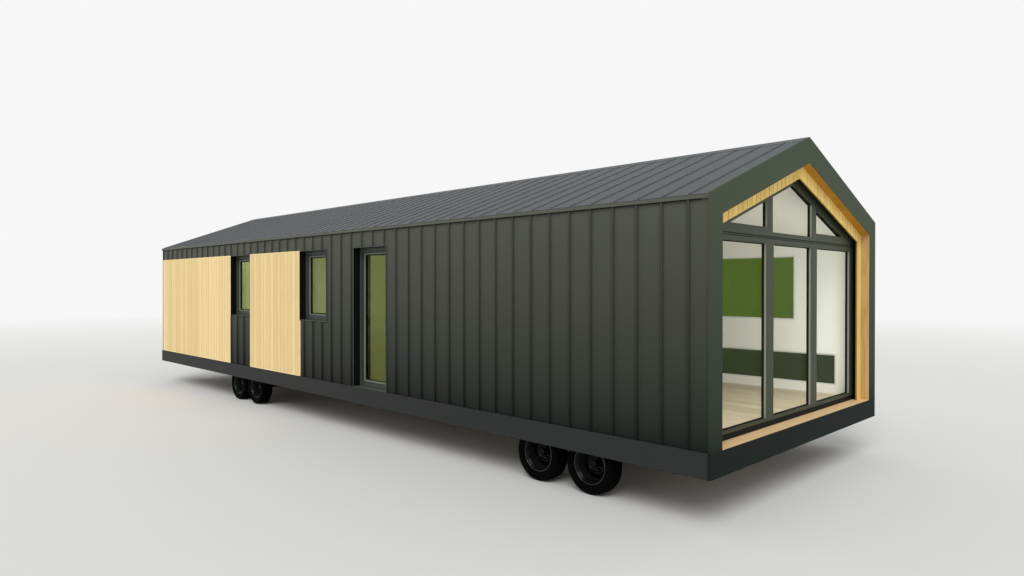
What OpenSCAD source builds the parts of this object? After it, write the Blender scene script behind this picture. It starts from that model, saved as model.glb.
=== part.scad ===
// A long house on wheels under a shallow gable roof, clad in standing-seam metal.
// X runs along the house with the glazed gable at +X. The door is on the -Y side and Z is up.
// The origin is on the ground under the middle of the house.

/* [House] */
// Length from the far end to the face of the gable
body_l = 14000; // [12000:100:16000]
// Width over the skirt
body_w = 4400; // [3800:50:5000]
// Ground to the bottom of the skirt
skirt_z = 483; // [460:1:560]
// Height of the skirt
skirt_h = 241; // [220:1:300]
// Bottom of the skirt to the eave
eave_rise = 2600; // [2500:10:3000]
// Eave to the ridge
roof_rise = 822; // [600:10:1200]
// Thickness of the walls from seam to room
wall_t = 200; // [160:5:260]
// Thickness of the roof panels
roof_t = 170; // [120:5:220]
// Thickness of the floor panel
floor_t = 54; // [40:2:60]
// Thickness of the oak floor
oak_t = 26; // [15:1:30]

/* [Metal skin] */
// Distance between two standing seams
seam_pitch = 285.5; // [200:0.5:500]
// Gable face to the first seam
seam_start = 233; // [120:1:280]
// Height of a wall seam above its sheet
seam_h = 22; // [12:1:30]
// Height of a roof seam above its sheet
roof_seam_h = 9; // [6:1:20]
// Width of a seam
seam_w = 16; // [8:1:24]
// Eave to the lower end of a roof seam
seam_stop = 30; // [10:5:60]
// Thickness of a sheet with its backing
sheet_t = 6; // [4:1:10]
// Height of the metal edge under the roof
edge_h = 50; // [40:1:80]
// Shadow gap between that edge and the wall sheets
edge_gap = 10; // [5:1:20]
// Half width of the ridge cap
cap_w = 120; // [80:5:180]

/* [Portal and glazed gable] */
// Thickness of the face plate round the gable
plate_t = 25; // [15:1:40]
// Thickness of its lip, which covers the edge of the lining
lip_t = 4; // [2:1:8]
// Depth of the portal in front of the boards
portal_d = 105; // [80:1:200]
// Width of the portal at the sides
portal_w = 224; // [180:2:300]
// Height of the portal under the ridge
portal_top = 294; // [240:2:360]
// Height of the portal under the eave corner
portal_eave = 180; // [150:2:240]
// Thickness of the larch lining, boards and sill
larch_t = 20; // [15:1:30]
// Width of the boarded band round the glazing
band_w = 141; // [100:1:180]
// Height of the boarded band under the apex
band_top = 158; // [120:1:200]
// Height of the boarded band at the eave corner
band_eave = 90; // [60:1:130]
// Depth of the dark return behind the boards
return_d = 57; // [40:1:90]
// Set-back of the return from the edge of the boards
return_out = 49; // [20:1:55]
// Depth of the glazing frame
screen_d = 54; // [54:1:90]
// Edge of the boards to the glass, at the sides and under the roof
screen_w = 65; // [40:1:110]
// Height of the bottom rail above the sill
screen_rail = 94; // [70:1:130]
// Bottom of the skirt to the glass edge under the transom
transom_low = 2205; // [1900:5:2220]
// Height of the transom under the middle upper light
transom_h = 127; // [100:1:160]
// Bottom of the middle upper light to the bottoms of the side ones
side_rise = 48; // [0:1:60]
// Glass edge to the joint in the transom
joint_z = 54; // [40:1:60]
// Height of that joint
joint_h = 28; // [10:1:30]
// Depth of that joint
joint_d = 6; // [2:1:10]
// Gable centre line to the middle of a mullion
mullion_y = 595; // [450:5:700]
// Width of a mullion below the transom
mullion_w = 180; // [120:2:220]
// Width of a mullion above the transom
mullion_top_w = 130; // [80:2:180]
// Thickness of all double glazing
glass_t = 28; // [20:1:40]
// Face of the gable's glazing frame to its glass
screen_in = 24; // [20:1:40]
// Face of a sash or a leaf to its glass
glass_in = 18; // [10:1:28]

/* [Door] */
// Gable face to the hinge side of the door opening
door_x = 5041; // [4700:1:5600]
// Width of the door opening
door_w = 822; // [780:1:1000]
// Height of the door opening
door_h = 2067; // [1950:1:2200]
// Thickness of the threshold plate
sill_t = 5; // [3:1:8]
// Wall face to the face of the door and window frames
recess = 114; // [80:1:125]
// Thickness of the metal sleeve that lines an opening
sleeve_t = 8; // [4:1:12]
// Visible width of the door and window frames
frame_w = 58; // [45:1:70]
// Depth of the door and window frames
frame_d = 70; // [60:1:74]
// Depth of the lip that covers the gap round the leaf
lip_d = 16; // [8:1:20]
// Overlap of that lip over the gap and the leaf
lip_w = 14; // [12:1:20]
// Gap round the door leaf
leaf_gap = 10; // [8:1:12]
// Gap between the leaf and the lip, and step back from a window's frame to its sash
lip_gap = 6; // [5:1:8]
// Width of the raised edge of a leaf or a sash round its recessed border
bead_w = 22; // [15:1:30]
// Width of the stiles and rails of the leaf
stile_w = 54; // [54:1:110]
// Radius of a hinge barrel
barrel_r = 9; // [7:0.5:12]
// Radius of a hinge pin
pin_r = 5; // [4:0.5:6]
// Height of a hinge
hinge_h = 110; // [80:5:140]
// Running clearance round pins and spindles
fit_gap = 0.3; // [0.2:0.1:0.5]
// Height of the handle above the floor
handle_z = 1030; // [900:10:1100]
// Length of a handle lever
lever_l = 130; // [100:5:150]

/* [Windows] */
// Width of the stiles and rails of a window sash
sash_w = 50; // [50:1:90]
// Visible width of the frames of the fixed rear windows
rear_frame_w = 12; // [12:1:40]
// Gable face to the nearest edge of the first front window
window_a_x = 6662; // [6400:1:7200]
// Gable face to the nearest edge of the second front window
window_b_x = 9386; // [9100:1:9500]
// Width of the first front window
window_w = 839; // [600:1:860]
// How much narrower the second front window is
window_less = 7; // [0:1:40]
// Bottom of the skirt to the bottom of the front windows
window_z = 1181; // [1000:1:1300]
// Height of the front windows
window_h = 1130; // [900:1:1140]
// Gable face to the nearest edge of the high rear window
rear_high_x = 1018; // [800:1:1500]
// Width of the high rear window
rear_high_w = 1900; // [1200:10:2400]
// Bottom of the skirt to the bottom of the high rear window
rear_high_z = 1272; // [1200:2:1400]
// Height of the high rear window
rear_high_h = 900; // [700:2:930]
// Gable face to the nearest edge of the low rear window
rear_low_x = 447; // [400:1:700]
// Width of the low rear window
rear_low_w = 2463; // [1500:10:2600]
// Bottom of the skirt to the bottom of the low rear window
rear_low_z = 392; // [380:1:450]
// Height of the low rear window
rear_low_h = 412; // [350:1:440]

/* [Timber panels] */
// Gable face to the near edge of the short panel
panel_a_x = 7501; // [7501:1:7700]
// Width of the short panel
panel_a_w = 1885; // [1400:1:1885]
// Gable face to the near edge of the long panel
panel_b_x = 10223; // [10200:1:10600]
// Width of the long panel
panel_b_w = 3717; // [1500:1:3717]
// Height of the panels above the skirt
panel_h = 2081; // [1900:1:2200]
// Depth of the panel face behind the skirt face
panel_in = 8; // [2:1:15]

/* [Running gear] */
// Gable face to the middle of the front pair of axles
bogie_a_x = 1891; // [1500:1:2500]
// Gable face to the middle of the rear pair of axles
bogie_b_x = 9871; // [9000:1:10500]
// Distance between the two axles of a pair
axle_pitch = 750; // [700:5:850]
// Radius of a tyre
tyre_r = 317; // [300:1:320]
// Width of a tyre
tyre_w = 205; // [185:5:225]
// Radius of the rim edge
rim_r = 207; // [190:1:220]
// Skirt face to the outer side of a tyre
wheel_in = 156; // [120:1:200]
// Radius of an axle tube
axle_r = 38; // [30:1:45]
// Radius of a wheel spindle
spindle_r = 25; // [20:1:30]
// House centre line to the middle of a chassis rail
rail_y = 1500; // [1200:10:1600]
// Height of the chassis rails
rail_h = 180; // [160:5:200]
// Width of the chassis rails
rail_w = 90; // [70:5:120]
// Thickness of the webs and flanges of the rails
rail_t = 10; // [8:1:14]
// Number of cross beams
beam_n = 9; // [7:1:15]
// Ends of the rails to the middle of a jack pad
pad_x = 400; // [200:10:600]
// Length and width of a jack pad
pad_size = 140; // [120:5:160]
// Thickness of a jack pad
pad_t = 6; // [4:1:10]
// Length of a leaf spring
spring_l = 660; // [560:10:680]
// Width of a leaf spring
spring_w = 60; // [50:1:70]
// Thickness of one spring leaf
leaf_t = 9; // [6:1:12]

/* [Hidden] */
$fn = 48;

gable_x = body_l / 2;
side_y = body_w / 2;
eave_z = skirt_z + eave_rise;
ridge_z = eave_z + roof_rise;
base_z = skirt_z + skirt_h;
slope = roof_rise / side_y;
stretch = sqrt(1 + slope * slope);
skin_t = seam_h + sheet_t;
core_y = side_y - skin_t;
room_y = side_y - wall_t;
end_x = -gable_x + wall_t;
skin_x = gable_x - plate_t;
boards_x = gable_x - portal_d;
wall_x = boards_x - larch_t;
floor_z = base_z + oak_t;
seam_drop = roof_seam_h * stretch;
skin_drop = seam_drop + sheet_t * stretch;
panel_drop = skin_drop + roof_t * stretch;
// Clearance between slanted faces that rest on each other
rest = 0.05;

metal = "dimgray";
dark = "darkslategray";
larch = "burlywood";
white = "whitesmoke";

// Height of the roof line at y, lowered by drop
function roof_line(y, drop) = ridge_z - drop - slope * abs(y);

// Outline of a house-shaped opening, moved outward by grow on every side
function house(half, low, eave, top, grow) =
  let (k = (top - eave) / half)
  let (up = top + grow * sqrt(1 + k * k))
  let (wide = half + grow)
  [[-wide, low - grow], [wide, low - grow], [wide, up - k * wide], [0, up], [-wide, up - k * wide]];

// Extrudes a YZ drawing along the house
module along_x(x0, x1) {
  translate([x0, 0, 0])
    rotate([90, 0, 90])
      linear_extrude(x1 - x0)
        children();
}

// Box between two corners
module block(a, b) {
  translate(a)
    cube(b - a);
}

// Chassis rails with their jack pads, and the beams across them
chassis_l = body_l - 2 * wall_t;
rail_z = base_z - floor_t - rail_h;

module rail_profile() {
  translate([-rail_w / 2, 0])
    square([rail_w, rail_t]);
  translate([-rail_w / 2, rail_h - rail_t])
    square([rail_w, rail_t]);
  translate([-rail_t / 2, 0])
    square([rail_t, rail_h]);
}

module chassis() {
  pad = pad_size / 2;
  color(dark)
    for (s = [-1, 1]) {
      along_x(-chassis_l / 2, chassis_l / 2)
        translate([s * rail_y, rail_z])
          rail_profile();
      for (x = [-1, 1] * (chassis_l / 2 - pad_x))
        block([x - pad, s * rail_y - pad, rail_z - pad_t], [x + pad, s * rail_y + pad, rail_z]);
    }
}

module cross_beams() {
  web = rail_t / 2;
  half = rail_w / 4;
  z0 = rail_z + rail_h / 2;
  z1 = rail_z + rail_h - rail_t;
  color(dark)
    for (i = [0 : beam_n - 1]) {
      x = -chassis_l / 2 + rail_w / 2 + i * (chassis_l - rail_w) / (beam_n - 1);
      block([x - half, -rail_y + web, z0], [x + half, rail_y - web, z1]);
      if (min([for (a = axle_xs) abs(x - a)]) > tyre_r + rail_w)
        for (s = [-1, 1])
          translate([x - half, s > 0 ? rail_y + web : -core_y, z0])
            cube([2 * half, core_y - rail_y - web, z1 - z0]);
    }
}

// Axles with their spindles
axle_xs = [
  gable_x - bogie_a_x + axle_pitch / 2, gable_x - bogie_a_x - axle_pitch / 2,
  gable_x - bogie_b_x + axle_pitch / 2, gable_x - bogie_b_x - axle_pitch / 2
];
wheel_y = side_y - wheel_in - tyre_w / 2;
hub_d = 62;
hub_out = -30;
hub_y = wheel_y + hub_out;

module axles() {
  tube = hub_y - hub_d - 4;
  spindle = hub_y - 20;
  color(dark)
    for (x = axle_xs)
      translate([x, 0, tyre_r])
        rotate([90, 0, 0]) {
          cylinder(r = axle_r, h = 2 * tube, center = true);
          cylinder(r = spindle_r, h = 2 * spindle, center = true);
        }
}

// Leaf springs, each three leaves on its axle and two hangers under the rail
spring_sag = 55;

module leaf_arc(level, length) {
  r = (pow(spring_l / 2, 2) + pow(spring_sag, 2)) / (2 * spring_sag);
  low = r + level * leaf_t;
  intersection() {
    translate([0, r])
      difference() {
        circle(r = low + leaf_t, $fn = 240);
        circle(r = low, $fn = 240);
      }
    translate([-length / 2, -4 * leaf_t])
      square([length, spring_sag + 4 * leaf_t]);
  }
}

module leaf_springs() {
  seat_z = tyre_r + axle_r + 3 * leaf_t;
  hanger_z = seat_z + spring_sag - leaf_t;
  color(dark)
    for (x = axle_xs, s = [-1, 1])
      translate([x, s * rail_y, 0]) {
        translate([0, spring_w / 2, seat_z])
          rotate([90, 0, 0])
            linear_extrude(spring_w) {
              leaf_arc(0, spring_l);
              leaf_arc(1, spring_l * 0.7);
              leaf_arc(2, spring_l * 0.4);
            }
        for (e = [-1, 1])
          block([e * spring_l / 2 - 14, -spring_w / 2, hanger_z - 30],
                [e * spring_l / 2 + 14, spring_w / 2, rail_z]);
      }
}

// Skirt round three sides
module skirt() {
  color(dark)
    difference() {
      block([-gable_x, -side_y, skirt_z], [skin_x, side_y, base_z]);
      block([-gable_x + skin_t, -core_y, skirt_z - 1], [skin_x + 1, core_y, base_z + 1]);
    }
}

// Floor
module floor_panel() {
  color(white)
    difference() {
      block([-gable_x + skin_t, -core_y, base_z - floor_t], [boards_x, core_y, base_z]);
      gable_sill(1);
    }
}

module oak_floor() {
  color(larch)
    block([end_x, -room_y, base_z], [screen_back, room_y, floor_z]);
}

// Openings in the long walls as [side, low x, high x, low z, high z]
function opening(side, from_gable, width, low, height) =
  [side, gable_x - from_gable - width, gable_x - from_gable, skirt_z + low, skirt_z + low + height];

door = opening(-1, door_x, door_w, skirt_h, door_h);
windows = [
  opening(-1, window_a_x, window_w, window_z, window_h),
  opening(-1, window_b_x, window_w - window_less, window_z - 4, window_h),
  opening(1, rear_high_x, rear_high_w, rear_high_z, rear_high_h),
  opening(1, rear_low_x, rear_low_w, rear_low_z, rear_low_h)
];

// Hole that an opening and its sleeve need, through the wall and its skin
module hole(o) {
  g = sleeve_t;
  low = o[3] - g < base_z + g ? base_z - 1 : o[3] - g;
  y0 = o[0] < 0 ? -side_y - 1 : room_y - 1;
  translate([o[1] - g, y0, low])
    cube([o[2] - o[1] + 2 * g, wall_t + 2, o[4] + g - low]);
}

// Timber-framed walls with their white lining
module long_wall(side, x0, x1, low = base_z) {
  drop = panel_drop + rest;
  along_x(x0, x1)
    polygon([
      [side * core_y, low], [side * room_y, low],
      [side * room_y, roof_line(room_y, drop)], [side * core_y, roof_line(core_y, drop)]
    ]);
}

module front_wall_left() {
  color(white)
    difference() {
      long_wall(-1, end_x, door[1] - sleeve_t);
      for (o = windows)
        if (o[0] < 0)
          hole(o);
    }
}

module front_wall_right() {
  color(white)
    long_wall(-1, door[2] + sleeve_t, wall_x);
}

module front_wall_over_door() {
  color(white)
    long_wall(-1, door[1] - sleeve_t, door[2] + sleeve_t, door[4] + sleeve_t);
}

module back_wall() {
  color(white)
    difference() {
      long_wall(1, end_x, wall_x);
      for (o = windows)
        if (o[0] > 0)
          hole(o);
    }
}

module end_wall() {
  color(white)
    along_x(-gable_x + skin_t, end_x)
      outer_outline(core_y, base_z, panel_drop + rest);
}

// Roof panels, sheets and edges
module roof_slab(side, x0, x1, half, high, low) {
  along_x(x0, x1)
    polygon([
      [side * half, roof_line(half, high)], [0, roof_line(0, high)],
      [0, roof_line(0, low)], [side * half, roof_line(half, low)]
    ]);
}

module roof_panel_front() {
  color(white)
    roof_slab(-1, -gable_x + skin_t, wall_x, core_y, skin_drop + rest, panel_drop);
}

module roof_panel_back() {
  color(white)
    roof_slab(1, -gable_x + skin_t, wall_x, core_y, skin_drop + rest, panel_drop);
}

seam_xs = [for (x = gable_x - seam_start; x > -gable_x + seam_w; x = x - seam_pitch) x];

module roof_sheet(side) {
  root = (seam_drop + skin_drop) / 2;
  foot = side_y - seam_stop;
  color(metal) {
    roof_slab(side, -gable_x, skin_x, side_y, seam_drop, skin_drop);
    for (x = seam_xs)
      along_x(x - seam_w / 2, x + seam_w / 2)
        polygon([
          [side * foot, roof_line(foot, 0)], [side * cap_w, roof_line(cap_w, 0)],
          [side * cap_w, roof_line(cap_w, root)], [side * foot, roof_line(foot, root)]
        ]);
  }
}

module roof_sheet_front() {
  roof_sheet(-1);
}

module roof_sheet_back() {
  roof_sheet(1);
}

// Strip that follows both slopes out to half, between two drops
module rake(half, high, low) {
  polygon([
    [-half, roof_line(half, high)], [0, roof_line(0, high)], [half, roof_line(half, high)],
    [half, roof_line(half, low)], [0, roof_line(0, low)], [-half, roof_line(half, low)]
  ]);
}

module ridge_cap() {
  color(metal)
    along_x(-gable_x, skin_x)
      rake(cap_w - rest, 0, seam_drop - rest);
}

// Metal edges under the roof, with a leg that closes the shadow gap at the back
edge_z = eave_z - edge_h;
leg_t = sheet_t / 2;

module roof_edges() {
  high = skin_drop + rest;
  color(metal) {
    for (s = [-1, 1])
      along_x(-gable_x, skin_x)
        polygon([
          [s * side_y, edge_z], [s * (core_y + leg_t), edge_z],
          [s * (core_y + leg_t), edge_z - edge_gap], [s * core_y, edge_z - edge_gap],
          [s * core_y, roof_line(core_y, high)], [s * side_y, roof_line(side_y, high)]
        ]);
    along_x(-gable_x, -gable_x + skin_t)
      rake(core_y, high, skin_drop + edge_h);
    along_x(-gable_x + skin_t - leg_t, -gable_x + skin_t)
      rake(core_y, high, skin_drop + edge_h + edge_gap);
  }
}

// Standing-seam cladding on the long walls
panel_xs = [
  [gable_x - panel_a_x - panel_a_w, gable_x - panel_a_x],
  [gable_x - panel_b_x - panel_b_w, gable_x - panel_b_x]
];

module long_cladding(side) {
  top = edge_z - edge_gap;
  low_y = side < 0 ? -side_y + seam_h : core_y;
  seam_y = side < 0 ? -side_y : core_y + sheet_t;
  color(metal)
    difference() {
      union() {
        block([-gable_x, low_y, base_z], [skin_x, low_y + sheet_t, top]);
        for (x = seam_xs)
          block([x - seam_w / 2, seam_y, base_z], [x + seam_w / 2, seam_y + seam_h, top]);
      }
      for (o = windows)
        if (o[0] == side)
          hole(o);
      if (side < 0) {
        hole(door);
        for (p = panel_xs)
          block([p[0], -side_y - 1, base_z - 1], [p[1], -core_y + 1, base_z + panel_h]);
      }
    }
}

module front_cladding() {
  long_cladding(-1);
}

module back_cladding() {
  long_cladding(1);
}

end_seam_n = floor((side_y - seam_w) / seam_pitch);

module end_cladding() {
  drop = skin_drop + edge_h + edge_gap + rest;
  color(metal)
    intersection() {
      union() {
        block([-gable_x + seam_h, -core_y, base_z], [-gable_x + skin_t, core_y, ridge_z]);
        for (i = [-end_seam_n : end_seam_n])
          block([-gable_x, i * seam_pitch - seam_w / 2, base_z],
                [-gable_x + seam_h, i * seam_pitch + seam_w / 2, ridge_z]);
      }
      along_x(-gable_x - 1, -gable_x + skin_t + 1)
        outer_outline(core_y, base_z, drop);
    }
}

module timber_panels() {
  color(larch)
    difference() {
      for (p = panel_xs)
        block([p[0], -side_y + panel_in, base_z], [p[1], -core_y, base_z + panel_h]);
      for (o = windows)
        if (o[0] < 0)
          hole(o);
    }
}

// Portal round the glazed gable
portal_half = side_y - portal_w;
portal_low = base_z;
portal_eave_z = eave_z - portal_eave;
portal_top_z = ridge_z - portal_top;
band_half = portal_half - band_w;
band_eave_z = portal_eave_z - band_eave;
band_top_z = portal_top_z - band_top;

module portal_opening(grow) {
  polygon(house(portal_half, portal_low, portal_eave_z, portal_top_z, grow));
}

module band_opening(grow) {
  polygon(house(band_half, portal_low, band_eave_z, band_top_z, grow));
}

module outer_outline(half, low, drop) {
  polygon([
    [-half, low], [half, low], [half, roof_line(half, drop)], [0, roof_line(0, drop)],
    [-half, roof_line(half, drop)]
  ]);
}

module portal_frame() {
  color(dark) {
    along_x(gable_x - lip_t, gable_x)
      difference() {
        outer_outline(side_y, skirt_z, 0);
        portal_opening(0);
      }
    along_x(skin_x, gable_x - lip_t)
      difference() {
        outer_outline(side_y, skirt_z, 0);
        portal_opening(larch_t);
      }
    along_x(boards_x, skin_x)
      difference() {
        outer_outline(core_y, skirt_z, skin_drop + rest);
        portal_opening(larch_t);
      }
  }
}

// Larch sill between the portal and the glazing, with grow added on top and in front
module gable_sill(grow) {
  high = base_z + grow;
  block([screen_x, -return_half, base_z - larch_t], [wall_x, return_half, high]);
  block([wall_x, -band_half, base_z - larch_t], [boards_x + grow, band_half, high]);
}

module portal_lining() {
  color(larch) {
    along_x(boards_x, gable_x - lip_t)
      difference() {
        portal_opening(larch_t);
        portal_opening(0);
      }
    gable_sill(0);
  }
}

module gable_boards() {
  color(larch)
    along_x(wall_x, boards_x)
      difference() {
        outer_outline(core_y, base_z, skin_drop + rest);
        band_opening(0);
      }
}

// Dark return behind the boards, then the glazing frame of the gable
screen_x = wall_x - return_d;
screen_back = screen_x - screen_d;
return_half = band_half + return_out;
transom_z0 = skirt_z + transom_low;

module screen_outline() {
  outer_outline(room_y, base_z, panel_drop + rest);
}

module gable_return() {
  color(dark)
    along_x(screen_x, wall_x)
      difference() {
        screen_outline();
        band_opening(return_out);
      }
}

// Area of a light, from its half width inward and between two levels
module light(y0, y1, z0, z1) {
  intersection() {
    band_opening(-screen_w);
    translate([y0, z0])
      square([y1 - y0, z1 - z0]);
  }
}

module panes() {
  low = base_z + screen_rail;
  high = transom_z0 + transom_h;
  inner = mullion_y - mullion_w / 2;
  outer = mullion_y + mullion_w / 2;
  inner_top = mullion_y - mullion_top_w / 2;
  outer_top = mullion_y + mullion_top_w / 2;
  light(-inner, inner, low, transom_z0);
  light(-inner_top, inner_top, high, ridge_z);
  for (s = [-1, 1])
    mirror([s < 0 ? 1 : 0, 0]) {
      light(outer, side_y, low, transom_z0);
      light(outer_top, side_y, high + side_rise, ridge_z);
    }
}

module screen_frame() {
  joint = transom_z0 + joint_z;
  color(dark)
    difference() {
      along_x(screen_back, screen_x)
        difference() {
          screen_outline();
          panes();
        }
      block([screen_x - joint_d, -return_half, joint], [screen_x + 1, return_half, joint + joint_h]);
    }
}

module screen_glass() {
  color("lightblue")
    along_x(screen_x - screen_in - glass_t, screen_x - screen_in)
      panes();
}

// Windows and the door frame, drawn from the front with y running into the wall
module at_opening(o) {
  mirror([0, o[0] > 0 ? 1 : 0, 0])
    translate([o[1], -side_y, o[3]])
      children();
}

module ring(w, h, edge_out, edge_in, y0, y1) {
  difference() {
    block([-edge_out, y0, -edge_out], [w + edge_out, y1, h + edge_out]);
    block([edge_in, y0 - 1, edge_in], [w - edge_in, y1 + 1, h - edge_in]);
  }
}

function wide(o) = o[2] - o[1];
function tall(o) = o[4] - o[3];

sleeve_y = 4;
sash_y = recess + lip_d + lip_gap;
sash_d = frame_d - lip_d - lip_gap;

// Metal sleeves of the openings, with a threshold under the door
module opening_sleeves() {
  inner_y = recess + frame_d;
  color(dark) {
    for (o = windows)
      at_opening(o)
        ring(wide(o), tall(o), sleeve_t, 0, sleeve_y, inner_y);
    at_opening(door) {
      difference() {
        ring(wide(door), tall(door), sleeve_t, 0, sleeve_y, inner_y);
        block([-2 * sleeve_t, 0, -2 * sleeve_t], [wide(door) + 2 * sleeve_t, wall_t, 0]);
      }
      block([-1, sleeve_y, 0], [wide(door) + 1, recess, sill_t]);
    }
  }
}

// Ring of a sash or a leaf, with a raised edge beside the frame and a border set back to the glass
module stepped_ring(w, h, edge_out, edge_in) {
  ring(w, h, edge_out, frame_w + bead_w, sash_y, sash_y + sash_d);
  ring(w, h, edge_out, edge_in, sash_y + glass_in, sash_y + sash_d);
}

// Front windows open inward, and the rear ones are fixed panes in a thin frame
function border(o) = o[0] < 0 ? frame_w + sash_w : rear_frame_w;

module window_frames() {
  color(dark)
    for (o = windows)
      at_opening(o)
        ring(wide(o), tall(o), 0, o[0] < 0 ? frame_w : rear_frame_w, recess, recess + frame_d);
}

module window_sashes() {
  color(dark)
    for (o = windows)
      if (o[0] < 0)
        at_opening(o)
          stepped_ring(wide(o), tall(o), -frame_w, border(o));
}

module window_glass() {
  y = sash_y + glass_in;
  color("lightblue")
    for (o = windows)
      at_opening(o)
        block([border(o), y, border(o)], [wide(o) - border(o), y + glass_t, tall(o) - border(o)]);
}

// Handle with a plate, a neck and a lever that hangs down, on the face at y = 0
module handle() {
  plate_w = 32;
  plate_h = 80;
  neck = 34;
  block([-plate_w / 2, 0, -plate_h / 2], [plate_w / 2, 8, plate_h / 2]);
  rotate([-90, 0, 0])
    cylinder(r = 9, h = neck);
  block([-10, neck - 2, -lever_l + 10], [10, neck + 12, 12]);
}

module window_handles() {
  color("silver")
    for (o = windows)
      if (o[0] < 0)
        at_opening(o)
          translate([frame_w + sash_w / 2, sash_y + sash_d, tall(o) / 2])
            handle();
}

module door_frame() {
  inner = frame_w - lip_w;
  color(dark)
    at_opening(door) {
      ring(wide(door), tall(door), 0, frame_w, recess, recess + lip_d);
      ring(wide(door), tall(door), 0, inner, recess, recess + frame_d);
    }
}

// Door leaf, which turns on three hinges at its +X edge
leaf_in = frame_w - lip_w + leaf_gap;
leaf_y1 = sash_y + sash_d;
hinge_x = door_w - leaf_in + leaf_gap / 2;
hinge_y = leaf_y1 + barrel_r + 1;
hinge_zs = [0.12, 0.5, 0.88];
hinge_plate = 4;
hinge_plate_w = 30;

module door_hinges() {
  third = hinge_h / 3;
  color(metal)
    at_opening(door)
      for (h = hinge_zs)
        translate([hinge_x, hinge_y, h * door_h]) {
          cylinder(r = pin_r, h = hinge_h, center = true);
          for (s = [-1, 1])
            translate([0, 0, s * third])
              cylinder(r = barrel_r, h = third - 2, center = true);
          for (s = [-1, 1])
            translate([0, 0, s * third])
              translate([0, leaf_y1 - hinge_y, -third / 2 + 1])
                cube([hinge_plate_w, hinge_plate, third - 2]);
        }
}

module door_leaf() {
  third = hinge_h / 3;
  color(dark)
    at_opening(door)
      difference() {
        union() {
          stepped_ring(door_w, door_h, -leaf_in, leaf_in + stile_w);
          for (h = hinge_zs)
            translate([hinge_x, hinge_y, h * door_h]) {
              cylinder(r = barrel_r, h = third - 2, center = true);
              translate([-hinge_plate_w, leaf_y1 - hinge_y, -third / 2 + 1])
                cube([hinge_plate_w, hinge_plate, third - 2]);
            }
        }
        for (h = hinge_zs)
          translate([hinge_x, hinge_y, h * door_h])
            cylinder(r = pin_r + fit_gap, h = third, center = true);
      }
}

module door_glass() {
  edge = leaf_in + stile_w;
  y = sash_y + glass_in;
  color("lightblue")
    at_opening(door)
      block([edge, y, edge], [door_w - edge, y + glass_t, door_h - edge]);
}

module door_handle() {
  color("silver")
    at_opening(door)
      translate([leaf_in + stile_w / 2, leaf_y1, handle_z])
        handle();
}

// Wheels, drawn round Z with the outer side up
module tyre() {
  shoulder = 34;
  wall = tyre_w / 2;
  bead = 82;
  color([0.08, 0.08, 0.08])
    rotate_extrude($fn = 96)
      difference() {
        hull() {
          for (s = [-1, 1]) {
            translate([tyre_r - shoulder, s * (wall - shoulder)])
              circle(r = shoulder, $fn = 32);
            translate([rim_r, s * bead - 6])
              square([10, 12]);
          }
        }
        translate([0, -tyre_w])
          square([rim_r, 2 * tyre_w]);
      }
}

module rim() {
  bead = 82;
  edge = 10;
  barrel = rim_r - 26;
  dish = hub_out;
  color([0.12, 0.12, 0.12])
    difference() {
      rotate_extrude($fn = 96)
        union() {
          polygon([
            [barrel - 8, -bead], [rim_r, -bead], [rim_r, -bead + edge], [barrel, -bead + 30],
            [barrel, bead - 30], [rim_r, bead - edge], [rim_r, bead], [barrel - 8, bead - 22]
          ]);
          polygon([
            [0, dish - 22], [84, dish - 22], [100, dish - 8], [120, dish - 8], [146, dish - 30],
            [barrel - 4, dish - 38], [barrel - 4, dish - 26], [150, dish - 18], [122, dish + 6],
            [98, dish + 6], [82, dish - 8], [0, dish - 8]
          ]);
          translate([0, hub_out - hub_d])
            square([62, hub_d - 14]);
          translate([0, dish - 14])
            square([40, 30]);
        }
      translate([0, 0, hub_out - hub_d - 1])
        cylinder(r = spindle_r + fit_gap, h = hub_d - 20 + 2);
    }
}

module at_wheel(side, i) {
  translate([axle_xs[i], side * wheel_y, tyre_r])
    rotate([side < 0 ? 90 : -90, 0, 0])
      children();
}

chassis();
cross_beams();
axles();
leaf_springs();
skirt();
floor_panel();
oak_floor();
front_wall_left();
front_wall_right();
front_wall_over_door();
back_wall();
end_wall();
roof_panel_front();
roof_panel_back();
roof_sheet_front();
roof_sheet_back();
ridge_cap();
roof_edges();
front_cladding();
back_cladding();
end_cladding();
timber_panels();
portal_frame();
portal_lining();
gable_boards();
gable_return();
screen_frame();
screen_glass();
opening_sleeves();
window_frames();
window_sashes();
window_glass();
window_handles();
door_frame();
door_hinges();
door_leaf();
door_glass();
door_handle();
at_wheel(-1, 0) tyre();  // tyre_f1
at_wheel(-1, 0) rim();  // rim_f1
at_wheel(-1, 1) tyre();  // tyre_f2
at_wheel(-1, 1) rim();  // rim_f2
at_wheel(-1, 2) tyre();  // tyre_f3
at_wheel(-1, 2) rim();  // rim_f3
at_wheel(-1, 3) tyre();  // tyre_f4
at_wheel(-1, 3) rim();  // rim_f4
at_wheel(1, 0) tyre();  // tyre_b1
at_wheel(1, 0) rim();  // rim_b1
at_wheel(1, 1) tyre();  // tyre_b2
at_wheel(1, 1) rim();  // rim_b2
at_wheel(1, 2) tyre();  // tyre_b3
at_wheel(1, 2) rim();  // rim_b3
at_wheel(1, 3) tyre();  // tyre_b4
at_wheel(1, 3) rim();  // rim_b4
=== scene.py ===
"""Looks of a long gabled house on wheels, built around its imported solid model."""
import math
import random

import bmesh
import bpy
from mathutils import Matrix, Vector


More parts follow.
